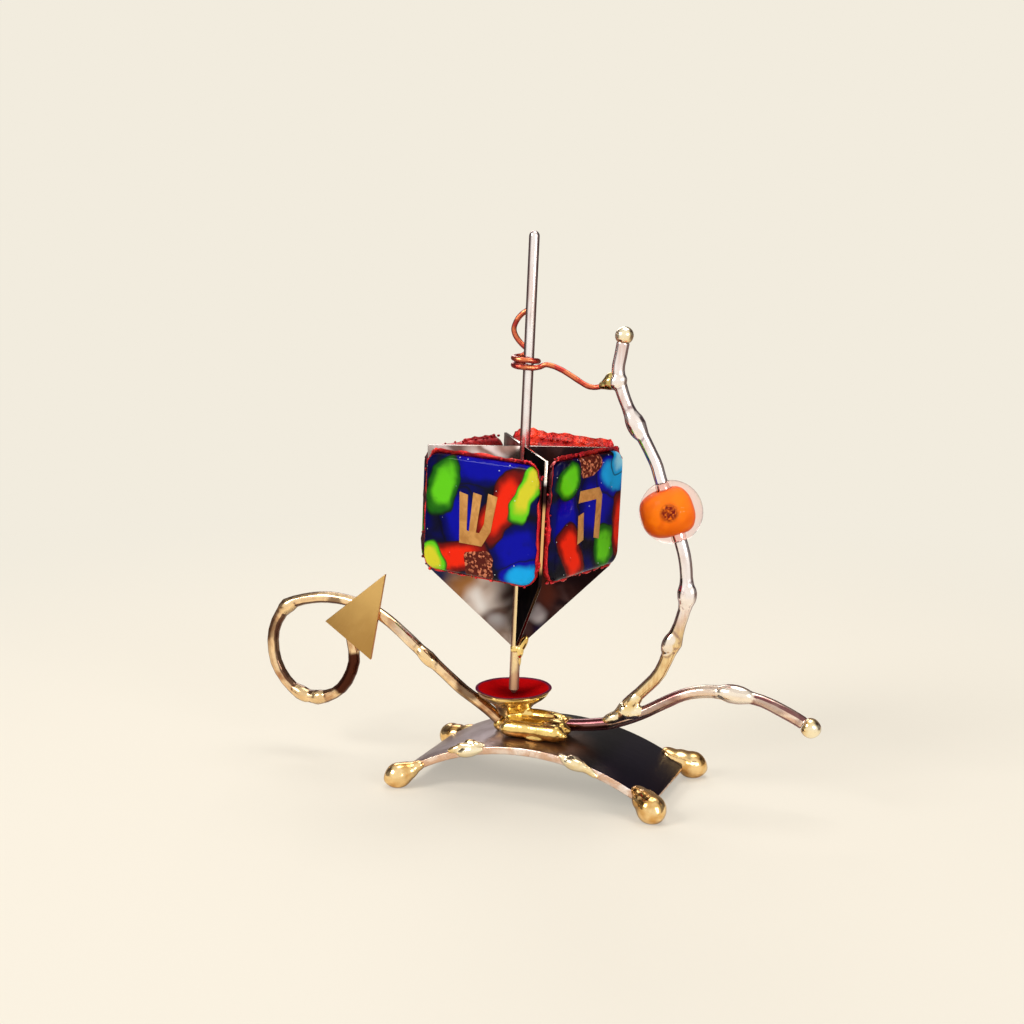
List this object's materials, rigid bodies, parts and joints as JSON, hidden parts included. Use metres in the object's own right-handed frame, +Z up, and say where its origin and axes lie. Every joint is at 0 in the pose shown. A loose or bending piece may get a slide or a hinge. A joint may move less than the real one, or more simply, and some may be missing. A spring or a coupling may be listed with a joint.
{
  "type": "spinning dreidel on a metal stand",
  "caption": "Spinning dreidel of fused-glass tiles on steel fins, standing in the cup of a bent-rod brazed metal stand with a wire guide.",
  "frame": {"origin": "on the ground under the middle of the cup in which the dreidel's tip turns", "axes": "+X along the arched plate, towards the main arm's free end; +Z up; +Y away from the front"},
  "size_m": [0.1502, 0.044, 0.1382],
  "materials": {
    "dark_steel": "heat-darkened satin",
    "brazing": "molten, glossy",
    "rod": "polished, coppery",
    "copper": "flame-coloured copper",
    "brass_sheet": "brushed",
    "clear_glass": "clear gloss",
    "orange_glass": "gloss",
    "bright_steel": "polished",
    "sheet_steel": "heat-tinted",
    "foil": "torn flame-red copper foil",
    "fused_glass": "fused, glossy",
    "gilding": "satin"
  },
  "bodies": {
    "stand": {"base_plate": "dark_steel", "foot_front_left": "brazing", "foot_front_right": "brazing", "foot_back_left": "brazing", "foot_back_right": "brazing", "edge_drops": "brazing", "brazed_ridges": "brazing", "cup_neck": "brazing", "cup": "copper", "main_arm": "rod", "main_arm_ball": "brazing", "upright_arm": "rod", "upright_arm_ball": "brazing", "upright_joint": "brazing", "scroll_arm": "rod", "scroll_joint": "brazing", "arrow_head": "brass_sheet", "arrow_joint": "brazing", "bead_glass": "clear_glass", "bead_core": "orange_glass", "wire_guide": "copper", "wire_joint": "brazing"},
    "dreidel": {"stem": "bright_steel", "stem_drop": "brazing", "fin_near": "sheet_steel", "fin_right": "sheet_steel", "fin_far": "sheet_steel", "fin_left": "sheet_steel", "foil_shin": "foil", "foil_hei": "foil", "foil_gimel": "foil", "foil_nun": "foil", "tile_shin": "fused_glass", "tile_hei": "fused_glass", "tile_gimel": "fused_glass", "tile_nun": "fused_glass", "letter_shin": "gilding", "letter_hei": "gilding", "letter_gimel": "gilding", "letter_nun": "gilding"}
  },
  "joints": [
    {"name": "dreidel_spin", "type": "hinge", "parent": "stand", "child": "dreidel", "pos_m": [0, 0, 0.02232], "axis": [0.0471, 0, 0.9989], "continuous": true}
  ]
}
